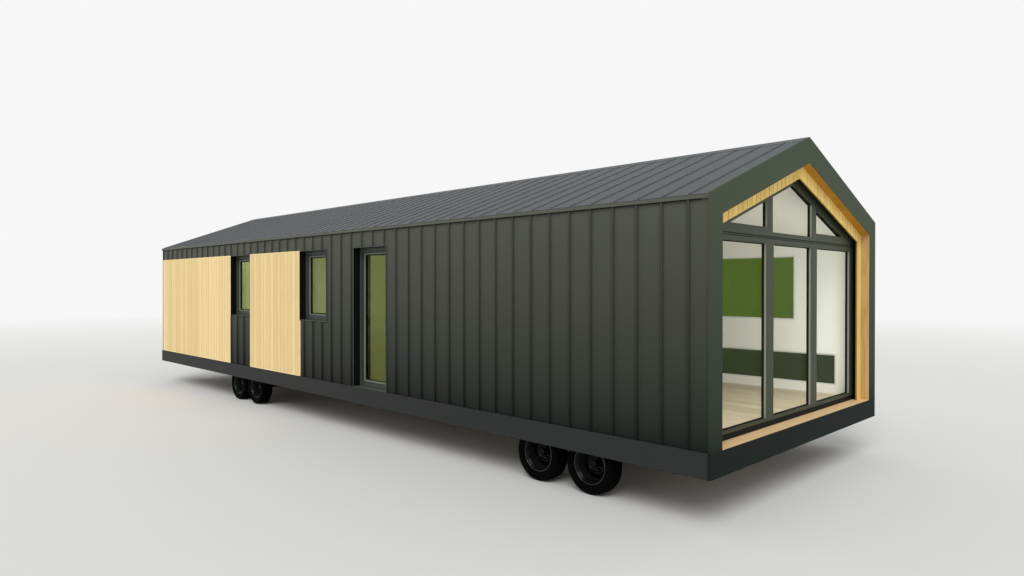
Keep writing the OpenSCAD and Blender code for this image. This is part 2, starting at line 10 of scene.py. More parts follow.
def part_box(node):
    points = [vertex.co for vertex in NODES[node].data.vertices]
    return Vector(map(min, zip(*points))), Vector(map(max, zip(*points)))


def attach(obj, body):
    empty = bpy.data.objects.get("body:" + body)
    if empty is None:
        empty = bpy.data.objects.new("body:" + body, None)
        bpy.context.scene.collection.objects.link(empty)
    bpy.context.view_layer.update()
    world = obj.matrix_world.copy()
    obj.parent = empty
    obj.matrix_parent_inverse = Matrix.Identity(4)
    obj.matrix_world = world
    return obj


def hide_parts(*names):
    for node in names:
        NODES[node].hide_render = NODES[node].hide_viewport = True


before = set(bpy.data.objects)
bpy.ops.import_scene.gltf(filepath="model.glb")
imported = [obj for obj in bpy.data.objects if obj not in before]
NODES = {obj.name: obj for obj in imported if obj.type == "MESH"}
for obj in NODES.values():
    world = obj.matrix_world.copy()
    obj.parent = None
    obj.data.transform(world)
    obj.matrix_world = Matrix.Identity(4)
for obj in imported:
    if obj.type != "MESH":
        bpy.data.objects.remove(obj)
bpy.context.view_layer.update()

MM = 0.001
X, Y, Z = range(3)

# Places that the boards and small parts share with the solids, in metres
GABLE_X = 7.0
PORTAL_BACK_X = 6.894
BOARDS_X = 6.895
WALL_X = 6.875
SCREEN_X = 6.818
SIDE_Y = 2.2
BASE_Z = 0.724
WALL_TOP = 3.023
EAVE_Z = 3.083
RIDGE_Z = 3.905
SLOPE = (RIDGE_Z - EAVE_Z) / SIDE_Y

# Standing seams: their spacing, the first one's distance from the gable, the room kept at
# the corners, the half width and depth of their heads, and more than any seam stands out
SEAM_PITCH = 0.2855
SEAM_START = 0.233
SEAM_MARGIN = 0.016
HEAD_HALF = 0.010
HEAD_DEPTH = 0.009
HEAD_BELOW_ROOF = 0.085
SEAM_REACH = 0.030

# The portal of the gable, the band of boards in it and the return behind the band, painted
# near-black as shade
PORTAL_HALF = 1.976
PORTAL_EAVE = 2.903
PORTAL_TOP = 3.611
BAND_HALF = 1.835
BAND_EAVE = 2.813
BAND_TOP = 3.453
BAND_PITCH = 0.0985
RETURN_HALF = 1.884
LARCH_T = 0.020
JOINT_ZS = (2.742, 2.763)

# Openings as low x, high x, low z, high z: three in the front wall, two in the back wall
DOOR = (1.137, 1.959, 0.724, 2.791)
WINDOW_A = (-0.501, 0.338, 1.664, 2.794)
WINDOW_B = (-3.218, -2.386, 1.660, 2.790)
REAR_HIGH = (4.082, 5.982, 1.755, 2.655)
REAR_LOW = (4.090, 6.553, 0.875, 1.287)

# The timber panels as low x and high x, and their top
PANELS = ((-2.378, -0.509), (-6.940, -3.226))
PANEL_TOP = 2.805

# What stands in the openings, from the sleeve inwards. The rear windows mirror the y.
# Past OUTER_SIDE on either wall, a face belongs to the outer side of a frame or a sash.
SLEEVE_T = 0.008
FRAME_W = 0.058
BEAD_W = 0.022
BORDER_W = 0.028
SASH_BACK = -2.016
GLASS_Y = -2.046
OUTER_SIDE = 2.050

# The plate of a lever: half width, half height and thickness
PLATE = (0.015, 0.038, 0.008)
DOOR_LEVER_Z = BASE_Z + 1.030

# Wheels, by the places of their axles
AXLE_XS = (5.484, 4.734, -2.496, -3.246)
WHEEL_Y = 1.9415
TYRE_R = 0.317
SHOULDER_R = 0.300
SHOULDER_Z = 0.054
GROOVE_DEPTH = 0.007
NUTS = 5
NUT_CIRCLE = 0.062


# Finishes

def tint(red, green, blue):
    """A colour given by its 0 to 255 values on a screen, as the shaders want it."""
    parts = []
    for value in (red, green, blue):
        share = value / 255
        parts.append(share / 12.92 if share < 0.04045 else ((share + 0.055) / 1.055) ** 2.4)
    return (*parts, 1.0)


class Wire:
    """An output of a shader node that takes part in arithmetic."""

    def __init__(self, finish, socket):
        self.finish = finish
        self.socket = socket

    def result(self, operation, *terms):
        """The output of a Math node."""
        return self.finish.node("ShaderNodeMath", {"operation": operation}, terms)

    def __add__(self, other):
        return self.result("ADD", self, other)

    __radd__ = __add__

    def __sub__(self, other):
        return self.result("SUBTRACT", self, other)

    def __rsub__(self, other):
        return self.result("SUBTRACT", other, self)

    def __mul__(self, other):
        return self.result("MULTIPLY", self, other)

    __rmul__ = __mul__

    def __truediv__(self, other):
        return self.result("DIVIDE", self, other)

    def __pow__(self, other):
        return self.result("POWER", self, other)

    def sine(self):
        """The sine of the value, in radians."""
        return self.result("SINE", self)

    def fraction(self):
        """What follows the decimal point."""
        return self.result("FRACT", self)

    def size(self):
        """The value without its sign."""
        return self.result("ABSOLUTE", self)

    def held(self):
        """The value kept between 0 and 1."""
        return self.finish.node("ShaderNodeClamp", {}, [self])

    def other(self, name):
        """Another output of the same node."""
        return Wire(self.finish, self.socket.node.outputs[name])


class Finish:
    """A material built from nodes, with a Principled shader at its end."""

    def __init__(self, name, slot, colour=None, roughness=0.5, **constants):
        self.slot = slot
        self.material = bpy.data.materials.new(name)
        self.material.use_nodes = True
        self.tree = self.material.node_tree
        self.tree.nodes.clear()
        self.output = self.tree.nodes.new("ShaderNodeOutputMaterial")
        self.shader = self.tree.nodes.new("ShaderNodeBsdfPrincipled")
        self.tree.links.new(self.shader.outputs[0], self.output.inputs["Surface"])
        if colour is not None:
            self.shader.inputs["Base Color"].default_value = colour
        self.shader.inputs["Roughness"].default_value = roughness
        for socket, value in constants.items():
            self.shader.inputs[socket.replace("_", " ")].default_value = value

    def fill(self, socket, value):
        """Links a wire to a socket, or sets the socket to a plain value."""
        if isinstance(value, Wire):
            self.tree.links.new(value.socket, socket)
        else:
            socket.default_value = value

    def node(self, kind, settings=None, inputs=()):
        """The first output of a new node, from its settings and its sockets' values."""
        node = self.tree.nodes.new(kind)
        for name, value in (settings or {}).items():
            if name == "stops":
                ramp = node.color_ramp
                while len(ramp.elements) < len(value):
                    ramp.elements.new(0.5)
                for element, (place, colour) in zip(ramp.elements, value):
                    element.position = place
                    element.color = colour
            else:
                setattr(node, name, value)
        pairs = inputs.items() if isinstance(inputs, dict) else enumerate(inputs)
        for name, value in pairs:
            if value is not None:
                self.fill(node.inputs[name], value)
        outputs = [s for s in node.outputs if s.enabled]
        return Wire(self, outputs[0])

    def place(self):
        """Object coordinates."""
        return self.node("ShaderNodeTexCoord").other("Object")

    def axes(self, vector):
        """The three parts of a vector."""
        split = self.node("ShaderNodeSeparateXYZ", {}, [vector])
        return split, split.other("Y"), split.other("Z")

    def stretched(self, vector, scale):
        """A vector with each of its parts scaled."""
        return self.node("ShaderNodeMapping", {}, {"Vector": vector, "Scale": scale})

    def noise(self, vector, scale, detail=3.0, roughness=0.5):
        """Soft noise between 0 and 1."""
        return self.node("ShaderNodeTexNoise", {}, {
            "Vector": vector, "Scale": scale, "Detail": detail, "Roughness": roughness})

    def blend(self, share, first, second, mode="MIX"):
        """A share of the way from one colour to another, or of the product of both."""
        return self.node(
            "ShaderNodeMix", {"data_type": "RGBA", "blend_type": mode},
            {0: share, 6: first, 7: second})

    def grey(self, value):
        """A grey colour from one number."""
        return self.node("ShaderNodeCombineColor", {}, [value, value, value])

    def bump(self, height, distance):
        """Raises the surface by a height from 0 to 1 times a distance in metres."""
        normal = self.node("ShaderNodeBump", {}, {
            "Height": height, "Distance": distance, "Strength": 1.0})
        self.fill(self.shader.inputs["Normal"], normal)

    def set(self, name, value):
        """Feeds a socket of the Principled shader."""
        self.fill(self.shader.inputs[name], value)


def sheet_metal(
        name, slot, colour, painted_shade_colour=None, roughness=0.5, shine=0.2, waves=0.0008,
        foot=None, curve=0.75):
    """Coated steel sheet: faint waves, a fine coat texture and light dust.

    The second colour, where given, is painted shade at the foot of the walls, and curve sets how
    it fades upwards.
    foot is the axis, the first place, the reach and the depth of a soft painted shade along the
    standing seams, where their shadows fall.
    """
    finish = Finish(name, slot, roughness=roughness, Specular_IOR_Level=shine)
    place = finish.place()
    x, y, z = finish.axes(place)
    cloud = finish.noise(place, 1.3, 4.0, 0.6)
    streak = finish.noise(finish.stretched(place, (9.0, 9.0, 0.5)), 1.0, 4.0, 0.6)
    grit = finish.noise(place, 900.0, 2.0)
    base = colour
    # Painted shade: the sheet is painted darker towards the foot of the walls
    if painted_shade_colour is not None:
        rise = ((z - BASE_Z) / (EAVE_Z - BASE_Z)).held() ** curve
        base = finish.blend(rise, painted_shade_colour, colour)
    shade = 0.90 + 0.12 * cloud + 0.08 * streak
    # Painted shade along the standing seams, where their shadows fall
    if foot is not None:
        axis, start, reach, depth = foot
        # 100 more keep the count above 0, and a seam lies where its fraction is a half
        turns = ((x, y)[axis] - start) / SEAM_PITCH + 100.5
        off = (turns.fraction() - 0.5).size() * SEAM_PITCH
        shade = shade * (1.0 - depth * (1.0 - off / reach).held() ** 1.5)
    finish.set("Base Color", finish.blend(1.0, base, finish.grey(shade), "MULTIPLY"))
    finish.set("Roughness", (roughness - 0.06 + 0.10 * streak + 0.05 * grit).held())
    swell = finish.noise(finish.stretched(place, (3.2, 3.2, 1.1)), 1.0, 1.0)
    finish.bump(swell + 0.012 * grit, waves)
    return finish


def wood(name, slot, pale, mid, deep, roughness=0.55, contrast=0.6, spread=0.14):
    """Planed boards. Each board of Boards carries its own grain coordinates and tone."""
    finish = Finish(name, slot, roughness=roughness, Specular_IOR_Level=0.25)
    grain = finish.node("ShaderNodeAttribute", {"attribute_name": "grain"}).other("Vector")
    tone = finish.node("ShaderNodeAttribute", {"attribute_name": "tone"}).other("Fac")
    wander = finish.noise(finish.stretched(grain, (5.0, 5.0, 0.55)), 1.0, 2.0)
    rings = (wander * 46.0 + finish.axes(grain)[0] * 60.0).sine() * 0.5 + 0.5
    fibres = finish.noise(finish.stretched(grain, (260.0, 260.0, 5.0)), 1.0, 4.0, 0.65)
    broad = finish.noise(finish.stretched(grain, (22.0, 22.0, 1.1)), 1.0, 3.0, 0.6)
    figure = (rings * 0.35 + fibres * 0.45 + broad * 0.5 - 0.25).held()
    body = finish.node("ShaderNodeValToRGB", {
        "stops": [(0.15, pale), (0.5, mid), (0.95, deep)]}, [figure * contrast + 0.15])
    shade = (1.0 - spread / 2) + spread * tone
    warm = finish.node("ShaderNodeCombineColor", {}, [shade, shade ** 1.15, shade ** 1.6])
    finish.set("Base Color", finish.blend(1.0, body, warm, "MULTIPLY"))
    finish.set("Roughness", (roughness - 0.08 + 0.2 * fibres).held())
    finish.bump(fibres * 0.7 + rings * 0.3, 0.0006)
    return finish


def clear_glass(name, tint_colour, mirror_colour, straight, slant):
    """Panes that let lamps through and mirror more at a slant."""
    finish = Finish(name, "glass")
    finish.tree.nodes.remove(finish.shader)
    through = finish.node("ShaderNodeBsdfTransparent", {}, [tint_colour])
    mirror = finish.node("ShaderNodeBsdfGlossy", {}, {"Color": mirror_colour, "Roughness": 0.02})
    facing = finish.node("ShaderNodeLayerWeight").other("Facing")
    share = straight + slant * facing ** 5.0
    pane = finish.node("ShaderNodeMixShader", {}, [share, through, mirror])
    finish.fill(finish.output.inputs["Surface"], pane)
    return finish


def rubber(name, slot, colour, dusty=0.2, shine=0.15):
    """Dull rubber with a little dust."""
    finish = Finish(name, slot, Specular_IOR_Level=shine)
    place = finish.place()
    dust = finish.noise(place, 9.0, 5.0, 0.65)
    grit = finish.noise(place, 320.0, 2.0)
    finish.set("Base Color", finish.blend(
        (dust - 0.45).held() * dusty, colour, tint(64, 60, 52)))
    finish.set("Roughness", (0.6 + 0.25 * dust).held())
    finish.bump(grit, 0.0004)
    return finish


def gloss_paint(name, slot, colour, metallic=1.0):
    """Glossy wheel paint with a thin film of dust."""
    finish = Finish(name, slot, Metallic=metallic)
    place = finish.place()
    film = finish.noise(place, 26.0, 4.0, 0.6)
    finish.set("Base Color", finish.blend((film - 0.5).held() * 0.2, colour, tint(58, 56, 50)))
    finish.set("Roughness", 0.08 + 0.14 * film)
    finish.bump(finish.noise(place, 700.0, 1.0), 0.0001)
    return finish


def plaster(name, slot, colour):
    """A matt rolled coat."""
    finish = Finish(name, slot)
    place = finish.place()
    cloud = finish.noise(place, 2.0, 3.0)
    roller = finish.noise(place, 260.0, 3.0, 0.6)
    finish.set("Base Color", finish.blend(
        1.0, colour, finish.grey(0.96 + 0.06 * cloud), "MULTIPLY"))
    finish.set("Roughness", 0.72 + 0.12 * roller)
    finish.bump(roller, 0.0005)
    return finish


def brushed(name, slot, colour):
    """Pale metal with fine upright brush lines."""
    finish = Finish(name, slot, Metallic=0.3)
    place = finish.place()
    lines = finish.noise(finish.stretched(place, (900.0, 900.0, 30.0)), 1.0, 2.0)
    finish.set("Base Color", finish.blend(
        1.0, colour, finish.grey(0.9 + 0.15 * lines), "MULTIPLY"))
    finish.set("Roughness", 0.26 + 0.16 * lines)
    finish.bump(lines, 0.0001)
    return finish


# Where the painted shade of the first standing seam is centred: 10 mm from the seam's middle,
# away from the gable
SEAM_SHADE_START = GABLE_X - SEAM_START - 0.010
# Wall sheets: painted shade darker towards their foot, and painted shade along their seams
WALL_METAL = sheet_metal(
    "wall_sheet", "wall_metal", tint(81, 84, 74), tint(20, 23, 22), shine=0.12,
    foot=(X, SEAM_SHADE_START, 0.040, 0.28))
END_WALL_METAL = sheet_metal(
    "end_wall_sheet", "wall_metal", tint(81, 84, 74), tint(20, 23, 22), shine=0.12,
    foot=(Y, 0.0, 0.040, 0.28))
# The roof pans carry painted shade along their seams
ROOF_METAL = sheet_metal(
    "roof_sheet", "roof_metal", tint(62, 66, 68), roughness=0.46, shine=0.15,
    foot=(X, SEAM_SHADE_START, 0.075, 0.15))
# Painted light: the roof seams' sides are lighter than the pans
ROOF_SEAM_LIGHT_METAL = sheet_metal(
    "roof_seam_painted_light", "roof_metal", tint(104, 107, 111), roughness=0.46)
# Painted light: the ridge cap's sides, lighter than the roof
CAP_SIDE_LIGHT_METAL = sheet_metal(
    "cap_side_painted_light", "roof_metal", tint(128, 132, 136), roughness=0.46)
EDGE_METAL = sheet_metal("edge_sheet", "edge_metal", tint(88, 90, 79), roughness=0.46)
SKIRT_METAL = sheet_metal("skirt_sheet", "skirt_metal", tint(48, 50, 49), shine=0.08)
# The portal is painted darker towards its foot, as painted shade
PORTAL_METAL = sheet_metal(
    "portal_sheet", "portal_metal", tint(73, 83, 67), tint(24, 31, 28), roughness=0.6, shine=0.06,
    curve=0.5)
# Painted light: the wall seams' sides, lighter at the foot than the pans and free of their seam
# shade; they too are painted darker towards the foot as shade
SEAM_METAL = sheet_metal("seam_sheet", "wall_metal", tint(80, 83, 74), tint(30, 33, 29))
FRAME_METAL = sheet_metal(
    "frame_coat", "frame_metal", tint(55, 63, 44), roughness=0.42, waves=0.0001)
SIDE_FRAME_METAL = sheet_metal(
    "side_frame_coat", "frame_metal", tint(65, 69, 65), roughness=0.42, waves=0.0001)
# Painted light: the sashes' steps and beads, lighter than the frames
SASH_LIGHT_METAL = sheet_metal(
    "sash_painted_light", "frame_metal", tint(132, 138, 120), roughness=0.42, waves=0.0001)
# The sleeves' reveals are painted near-black as shade, and their sills and outer sides lighter as
# painted light
SLEEVE_SHADE_METAL = sheet_metal(
    "sleeve_painted_shade", "frame_metal", tint(18, 21, 17), roughness=0.6, shine=0.05)
SLEEVE_LIGHT_METAL = sheet_metal(
    "opening_edge_painted_light", "frame_metal", tint(76, 82, 76), roughness=0.5, waves=0.0001)
# Painted light: the gable's beads, lighter than its frame
BEAD_LIGHT_METAL = sheet_metal(
    "bead_painted_light", "frame_metal", tint(150, 154, 140), roughness=0.42, waves=0.0001)
ROOM_FRAME_METAL = sheet_metal(
    "room_frame_coat", "frame_metal", tint(214, 214, 208), roughness=0.5, waves=0.0001)
# Painted shade: the return behind the band is near-black
RETURN_SHADE_METAL = sheet_metal(
    "return_painted_shade", "return_metal", tint(10, 11, 10), roughness=0.6, shine=0.05)
BLACK_STEEL = sheet_metal(
    "chassis_coat", "running_gear", tint(24, 25, 26), roughness=0.5, waves=0.0002)
FLOOR_BOARD = plaster("floor_board", "floor_board", tint(160, 146, 128))
WHITE_LINING = plaster("white_lining", "wall_white", tint(236, 234, 228))
PALE_TIMBER = wood(
    "pale_boards", "timber", tint(246, 220, 160), tint(234, 204, 146), tint(200, 162, 102),
    contrast=0.42, spread=0.16)
# One larch in lit and shaded copies: the band and the sill painted lighter as lit, the jamb less,
# and the soffit, which faces down, painted darker and more orange as shade
LARCH = wood(
    "larch_jamb", "larch", tint(208, 178, 124), tint(194, 160, 104), tint(160, 122, 70),
    contrast=0.7, spread=0.10)
LARCH_BAND = wood(
    "larch_band", "larch", tint(255, 230, 148), tint(248, 212, 118), tint(206, 158, 70),
    contrast=0.7, spread=0.20)
LARCH_SOFFIT = wood(
    "larch_soffit", "larch", tint(197, 147, 50), tint(183, 131, 40), tint(149, 99, 28),
    contrast=0.6, spread=0.12)
LARCH_SILL = wood(
    "larch_sill", "larch", tint(232, 200, 154), tint(222, 186, 138), tint(194, 152, 102),
    contrast=0.6, spread=0.10)
OAK = wood(
    "oak_planks", "oak", tint(202, 188, 164), tint(188, 172, 146), tint(154, 134, 106),
    roughness=0.45, spread=0.20)
# The door, side and rear panes mirror a painted green-yellow, as painted reflection of green
# surroundings; the rear panes are tinted green, the low one near-black green, for the green
# outside seen through them
GABLE_GLASS = clear_glass("gable_glass", (0.965, 0.975, 0.96, 1), (1, 1, 1, 1), 0.004, 0.12)
DOOR_GLASS = clear_glass("door_glass", (0.33, 0.36, 0.27, 1), (0.78, 0.88, 0.28, 1), 0.13, 0.4)
SIDE_GLASS = clear_glass("side_glass", (0.69, 0.73, 0.49, 1), (0.8, 0.9, 0.6, 1), 0.03, 0.3)
REAR_GLASS = clear_glass("rear_glass", (0.15, 0.233, 0.012, 1), (0.9, 1, 0.6, 1), 0.008, 0.3)
LOW_REAR_GLASS = clear_glass(
    "low_rear_glass", (0.07, 0.09, 0.030, 1), (0.9, 1, 0.6, 1), 0.008, 0.3)
OUTER_GLASS = clear_glass("outer_glass", (0.47, 0.56, 0.31, 1), (1, 1, 1, 1), 0.13, 0.4)
SEAL = rubber("pane_seal", "frame_metal", tint(14, 15, 14))
GASKET = rubber("pane_gasket", "frame_metal", tint(50, 53, 45))
TYRE = rubber("tyre_rubber", "tyre", tint(4, 5, 4), dusty=0.03, shine=0.03)
RIM = gloss_paint("rim_paint", "rim", tint(23, 25, 24))
# Painted reflection: the inner wall of the barrel is lighter than the rim
RIM_BARREL_REFLECTION = gloss_paint("rim_barrel_painted_reflection", "rim", tint(48, 52, 49), 0.6)
# Painted highlight: the rolled edge of the rim
RIM_EDGE_HIGHLIGHT = gloss_paint("rim_edge_painted_highlight", "rim", tint(104, 106, 100))
HANDLE = brushed("handle_metal", "handle", tint(246, 247, 245))


def dress(nodes, finish):
    """Gives a finish to solids that keep their own shape."""
    for name in nodes:
        mesh = NODES[name].data
        mesh.materials.clear()
        mesh.materials.append(finish.material)


# The return is painted near-black as shade
dress(["gable_return"], RETURN_SHADE_METAL)
dress(["door_hinges"], SIDE_FRAME_METAL)
dress(["chassis", "cross_beams", "axles", "leaf_springs"], BLACK_STEEL)
dress(["floor_panel"], FLOOR_BOARD)
dress([
    "front_wall_left", "front_wall_right", "front_wall_over_door", "back_wall", "end_wall",
    "roof_panel_front", "roof_panel_back"], WHITE_LINING)
dress(["screen_glass"], GABLE_GLASS)
dress(["door_glass"], DOOR_GLASS)


# Pieces

def piece(name, bm, finish, body, replaced=(), smooth=False):
    """Turns a bmesh into a finished object that rides on a body."""
    mesh = bpy.data.meshes.new(name)
    bm.to_mesh(mesh)
    bm.free()
    mesh.materials.append(finish.material)
    if smooth:
        mesh.shade_smooth()
    made = bpy.data.objects.new(name, mesh)
    bpy.context.scene.collection.objects.link(made)
    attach(made, body)
    if replaced:
        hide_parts(*replaced)
    return made


def sharpen(made, degrees):
    """Keeps edges sharper than an angle crisp on a smooth piece."""
    bm = bmesh.new()
    bm.from_mesh(made.data)
    limit = math.radians(degrees)
    for edge in bm.edges:
        if len(edge.link_faces) == 2 and edge.calc_face_angle(0) > limit:
            edge.smooth = False
    bm.to_mesh(made.data)
    bm.free()


def box(bm, low, high):
    """A box between two corners, and its vertices."""
    low, high = Vector(low), Vector(high)
    size = high - low
    place = Matrix.Translation((low + high) / 2) @ Matrix.Diagonal((*size, 1))
    return bmesh.ops.create_cube(bm, size=1.0, matrix=place)["verts"]


def soften(bm, edges, width, segments=2):
    """Rounds edges by a width."""
    bmesh.ops.bevel(
        bm, geom=edges, offset=width, segments=segments, profile=0.5, affect="EDGES",
        material=-1, clamp_overlap=True)


def cut(bm, point, normal):
    """Cuts away what lies on the normal's side of a plane, and closes the cut."""
    geom = bm.verts[:] + bm.edges[:] + bm.faces[:]
    made = bmesh.ops.bisect_plane(
        bm, geom=geom, dist=1e-6, plane_co=point, plane_no=normal, clear_outer=True)
    rim = [g for g in made["geom_cut"] if isinstance(g, bmesh.types.BMEdge)]
    if rim:
        bmesh.ops.edgenet_fill(bm, edges=rim)


def copy_of(node):
    """A merged copy of a solid, with each flat area as one face where it can be."""
    bm = bmesh.new()
    bm.from_mesh(NODES[node].data)
    bmesh.ops.remove_doubles(bm, verts=bm.verts, dist=1e-5)
    bmesh.ops.dissolve_limit(
        bm, angle_limit=math.radians(0.5), verts=bm.verts, edges=bm.edges)
    return bm


def folded(node, finish, width, body="house"):
    """A solid's copy with rounded outer corners, as on bent sheet and drawn bars."""
    bm = copy_of(node)
    corners = [
        e for e in bm.edges
        if len(e.link_faces) == 2 and e.is_convex and e.calc_face_angle(0) > math.radians(25)]
    soften(bm, corners, width)
    return piece(f"{node}_folded", bm, finish, body, [node])


def split(made, y):
    """Splits the faces of a piece along an upright plane, so that each side has its finish."""
    bm = bmesh.new()
    bm.from_mesh(made.data)
    geom = bm.verts[:] + bm.edges[:] + bm.faces[:]
    bmesh.ops.bisect_plane(bm, geom=geom, dist=1e-6, plane_co=(0, y, 0), plane_no=(0, 1, 0))
    bm.to_mesh(made.data)
    bm.free()


def two_tone(made, finish, test):
    """A second finish on the faces that pass a test of their centre and normal."""
    made.data.materials.append(finish.material)
    for face in made.data.polygons:
        if test(face.center, face.normal):
            face.material_index = len(made.data.materials) - 1


def on_seam(centre, normal):
    """Sides of the standing seams, which take a lighter finish than the pans as painted light."""
    on_end = centre.x < -GABLE_X + SEAM_REACH and abs(centre.y) < SIDE_Y - SEAM_REACH
    return abs(normal.y if on_end else normal.x) > 0.9


def faces_away(centre, normal):
    """Whether a face looks away from the middle of the opening it belongs to."""
    def offset(opening):
        x0, x1, z0, z1 = opening
        return centre.x - (x0 + x1) / 2, centre.z - (z0 + z1) / 2

    openings = (REAR_HIGH, REAR_LOW) if centre.y > 0 else (DOOR, WINDOW_A, WINDOW_B)
    x, z = min((offset(o) for o in openings), key=lambda off: abs(off[0]) + abs(off[1]))
    return x * normal.x + z * normal.z > 0


def at_opening_edge(centre, normal):
    """Outer faces and sills of the sleeves in the front and back walls, which take a lighter
    finish as painted light.
    """
    return abs(centre.y) > SIDE_Y - 6 * MM or normal.z > 0.5 or faces_away(centre, normal)


def on_step(centre, normal):
    """The sides of the steps in front of the panes of a sash or the leaf, painted light as lit.
    """
    outside = abs(centre.y) > OUTER_SIDE
    return abs(normal.y) < 0.5 and outside and not faces_away(centre, normal)


def in_back_room(centre, normal):
    """Faces at the rear windows that are seen from the room."""
    return 0 < centre.y < OUTER_SIDE and normal.y < 0.5


class Boards:
    """Boards gathered in one mesh. Each has its own grain and tone."""

    def __init__(self, seed):
        self.draw = random.Random(seed)
        self.all = bmesh.new()
        self.grain = self.all.verts.layers.float_vector.new("grain")
        self.tone = self.all.verts.layers.float.new("tone")

    def add(self, low, high, along, face, bevel=2.5 * MM, cuts=(), tone=None, joint=0.0):
        """A board between two corners, with the visible side's edges rounded by bevel.

        along is the axis of the grain, face the axis and sign of the visible side, cuts
        planes that trim the board, and joint how much darker its sides are than its face.
        """
        bm = bmesh.new()
        box(bm, low, high)
        axis, sign = face
        level = (high if sign > 0 else low)[axis]
        edges = [
            e for e in bm.edges
            if all(abs(v.co[axis] - level) < 1e-6 for v in e.verts)
            and abs((e.verts[0].co - e.verts[1].co)[along]) > 1e-6]
        if bevel:
            soften(bm, edges, bevel)
        for point, normal in cuts:
            cut(bm, point, normal)
        self.take(bm, along, tone, lambda co: joint if abs(co[axis] - level) > 1e-5 else 0.0)

    def take(self, bm, along, tone, darker):
        """Takes in a board's mesh, with grain and tone at its vertices."""
        shift = Vector([self.draw.uniform(0, 50) for _ in range(3)])
        shade = self.draw.random() if tone is None else tone
        across = [a for a in range(3) if a != along]
        start = len(self.all.verts)
        mesh = bpy.data.meshes.new("board")
        bm.to_mesh(mesh)
        bm.free()
        self.all.from_mesh(mesh)
        bpy.data.meshes.remove(mesh)
        self.all.verts.ensure_lookup_table()
        for vert in self.all.verts[start:]:
            co = vert.co
            vert[self.grain] = Vector((co[across[0]], co[across[1]], co[along])) + shift
            vert[self.tone] = shade - darker(co)


# Metal skin

def seam_xs():
    """Places of the standing seams along the house."""
    x = GABLE_X - SEAM_START
    while x > -GABLE_X + SEAM_MARGIN:
        yield x
        x -= SEAM_PITCH


def free_spans(x, low, high, openings):
    """Heights between low and high at x that no opening takes, from 20 mm up."""
    spans = [(low, high)]
    room = SLEEVE_T + HEAD_HALF
    for x0, x1, z0, z1 in openings:
        if x0 - room < x < x1 + room:
            spans = [
                part for a, b in spans
                for part in ((a, min(b, z0 - SLEEVE_T)), (max(a, z1 + SLEEVE_T), b))
                if part[1] - part[0] > 20 * MM]
    return spans


def upright_heads(name, bm, finish):
    """Rounds the long edges of upright seam heads and makes them a piece."""
    long_edges = [e for e in bm.edges if abs((e.verts[0].co - e.verts[1].co).z) > 0.01]
    soften(bm, long_edges, 2.5 * MM)
    piece(name, bm, finish, "house")


def seam_heads():
    """The folded heads of the wall seams, a little wider than the webs under them."""
    front = [DOOR, WINDOW_A, WINDOW_B]
    front += [(x0, x1, BASE_Z, PANEL_TOP - SLEEVE_T) for x0, x1 in PANELS]
    for side, openings, name in (
            (-1, front, "front_seam_heads"), (1, [REAR_HIGH, REAR_LOW], "back_seam_heads")):
        bm = bmesh.new()
        ys = sorted((side * SIDE_Y, side * (SIDE_Y - HEAD_DEPTH)))
        for x in seam_xs():
            for z0, z1 in free_spans(x, BASE_Z, WALL_TOP, openings):
                box(bm, (x - HEAD_HALF, ys[0], z0), (x + HEAD_HALF, ys[1], z1))
        upright_heads(name, bm, WALL_METAL)
    bm = bmesh.new()
    count = int((SIDE_Y - SEAM_MARGIN) / SEAM_PITCH)
    for i in range(-count, count + 1):
        y = i * SEAM_PITCH
        top = RIDGE_Z - HEAD_BELOW_ROOF - SLOPE * abs(y)
        box(bm, (-GABLE_X, y - HEAD_HALF, BASE_Z), (-GABLE_X + HEAD_DEPTH, y + HEAD_HALF, top))
    upright_heads("end_seam_heads", bm, END_WALL_METAL)


def metal_skin():
    """Folded copies of the sheets and bars of the shell, the portal, the frames and the door."""
    # The seams' sides take lighter finishes than the pans, as painted light
    for node, finish in (
            ("front_cladding", WALL_METAL), ("back_cladding", WALL_METAL),
            ("end_cladding", END_WALL_METAL)):
        two_tone(folded(node, finish, 2 * MM), SEAM_METAL, on_seam)
    for node in ("roof_sheet_front", "roof_sheet_back"):
        two_tone(folded(node, ROOF_METAL, 2 * MM), ROOF_SEAM_LIGHT_METAL, on_seam)
    # The ridge cap's sides take a lighter finish, as painted light
    two_tone(
        folded("ridge_cap", ROOF_METAL, 2 * MM), CAP_SIDE_LIGHT_METAL,
        lambda centre, normal: abs(normal.y) > 0.6)
    folded("roof_edges", EDGE_METAL, 2 * MM)
    folded("skirt", SKIRT_METAL, 3 * MM)
    folded("portal_frame", PORTAL_METAL, 2.5 * MM)
    folded("screen_frame", FRAME_METAL, 2 * MM)
    frames = folded("window_frames", SIDE_FRAME_METAL, 2.5 * MM)
    split(frames, -GLASS_Y)
    two_tone(frames, ROOM_FRAME_METAL, in_back_room)
    # Painted shade in the reveals, painted light on the sills and outer sides
    sleeves = folded("opening_sleeves", SLEEVE_SHADE_METAL, 1 * MM)
    two_tone(sleeves, SLEEVE_LIGHT_METAL, at_opening_edge)
    two_tone(sleeves, ROOM_FRAME_METAL, in_back_room)
    folded("door_frame", SIDE_FRAME_METAL, 2.5 * MM)
    two_tone(folded("window_sashes", SIDE_FRAME_METAL, 2 * MM), SASH_LIGHT_METAL, on_step)
    two_tone(folded("door_leaf", SIDE_FRAME_METAL, 1 * MM, "door"), SASH_LIGHT_METAL, on_step)
    seam_heads()


